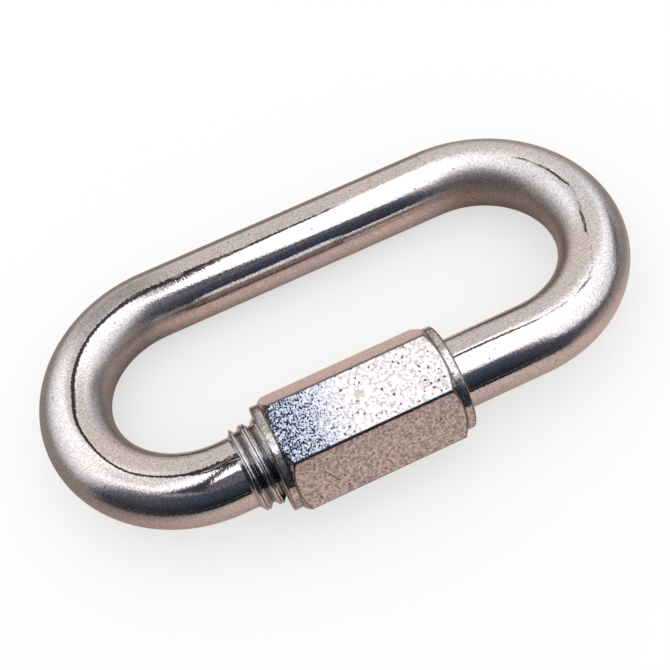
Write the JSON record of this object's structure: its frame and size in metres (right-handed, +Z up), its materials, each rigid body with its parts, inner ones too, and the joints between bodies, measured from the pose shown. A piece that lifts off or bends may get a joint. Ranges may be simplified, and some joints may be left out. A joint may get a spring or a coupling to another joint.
{
  "type": "chain quick link",
  "caption": "Oval quick link bent from round zinc-plated steel rod, with a hexagonal sleeve nut that screws along the threaded ends to open and close its mouth and join lengths of chain.",
  "frame": {"origin": "middle of the lying link's box, on the surface it rests on", "axes": "+X along the link's length towards the long threaded stub, +Y from the nut's bar to the far bar, +Z up"},
  "size_m": [0.07, 0.0368, 0.0128],
  "materials": {
    "rod_zinc": "bright zinc plate over drawn rod",
    "nut_zinc": "bright zinc plate over hexagon bar, slightly pitted"
  },
  "bodies": {
    "link": {"link_body": "rod_zinc"},
    "nut": {"sleeve_nut": "nut_zinc"}
  },
  "joints": [
    {"name": "nut_travel", "type": "slide", "parent": "link", "child": "nut", "axis": [1, 0, 0], "range_m": [-0.003, 0.0105]}
  ]
}
